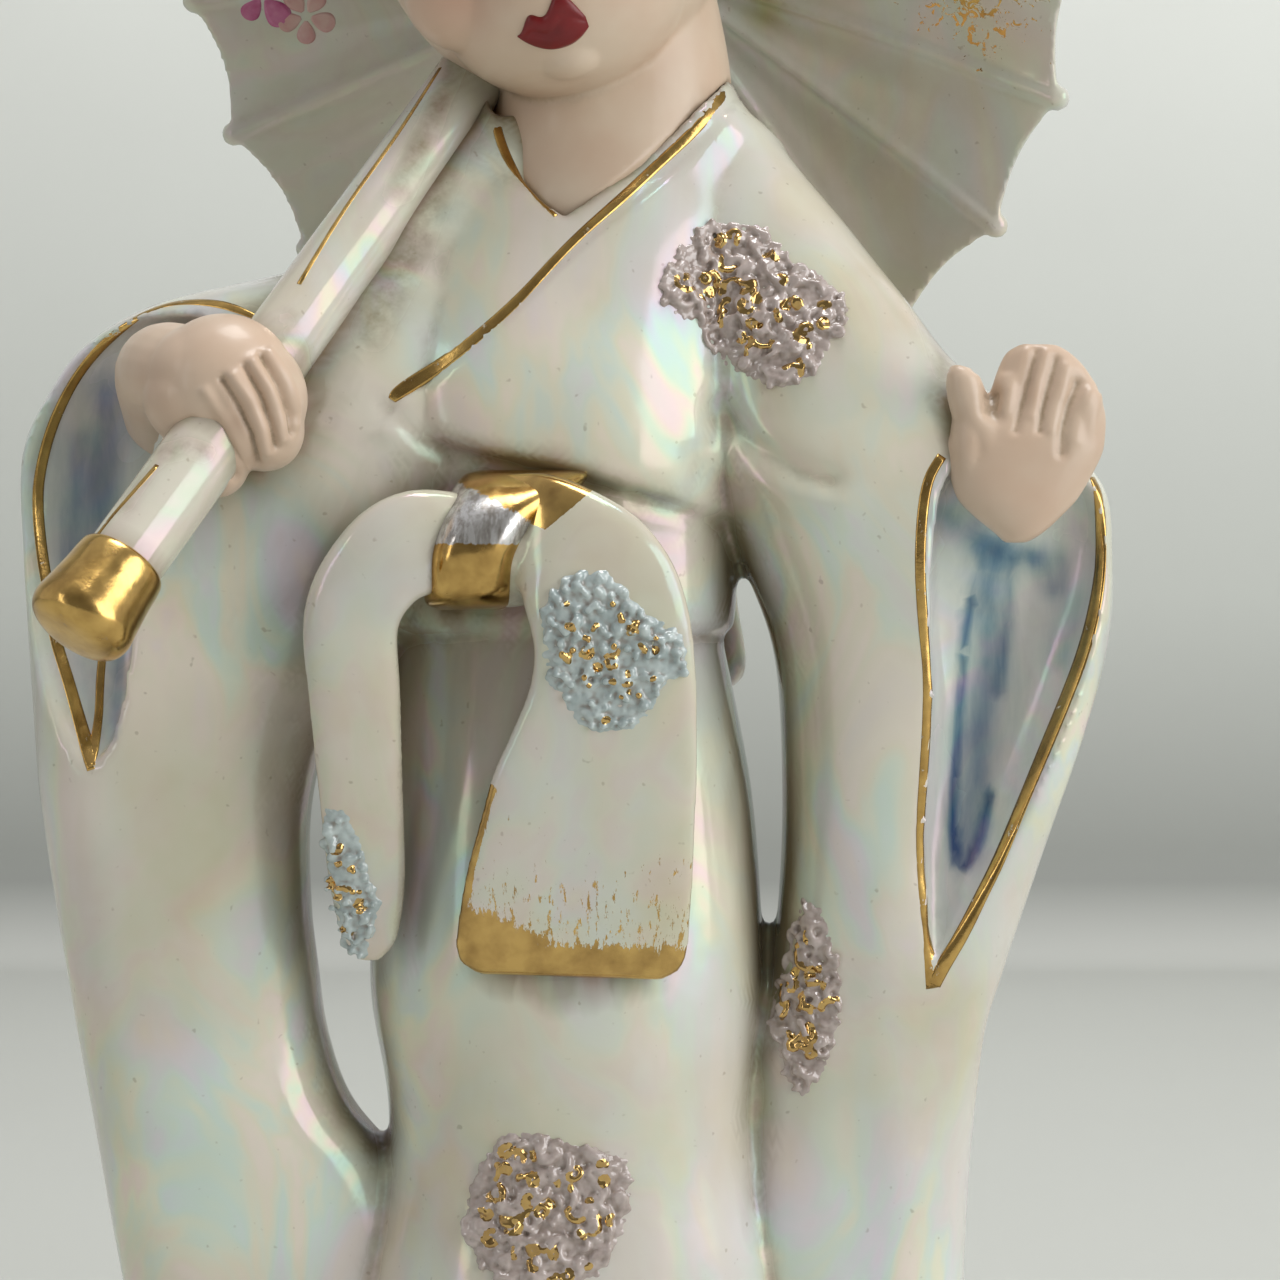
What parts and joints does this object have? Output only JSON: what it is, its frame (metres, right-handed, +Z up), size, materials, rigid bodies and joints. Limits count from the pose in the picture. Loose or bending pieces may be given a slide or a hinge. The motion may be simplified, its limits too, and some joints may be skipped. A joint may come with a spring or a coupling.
{
  "type": "geisha figurine",
  "caption": "Glazed porcelain figurine of a standing geisha in a long-sleeved robe, one hand raised and the other holding an open parasol over the shoulder.",
  "frame": {"origin": "on the table plane, under the middle of the figure, on the flat base", "axes": "+Z up, +X to the viewer's right, +Y away from the viewer: the face and sash look towards -Y"},
  "size_m": [0.1282, 0.0908, 0.2536],
  "materials": {
    "pearl_glaze": "glossy cream porcelain glaze with mother-of-pearl lustre",
    "skin_glaze": "smooth flesh-toned glaze with a pink blush",
    "black_glaze": "gloss black overglaze enamel",
    "bright_gold": "bright fired gold, hand brushed and worn",
    "pink_crumbs": "glossy pink glaze crumbs touched with gold",
    "blue_crumbs": "glossy pale blue glaze crumbs touched with gold"
  },
  "bodies": {
    "root": {"figurine": "pearl_glaze"}
  },
  "joints": []
}
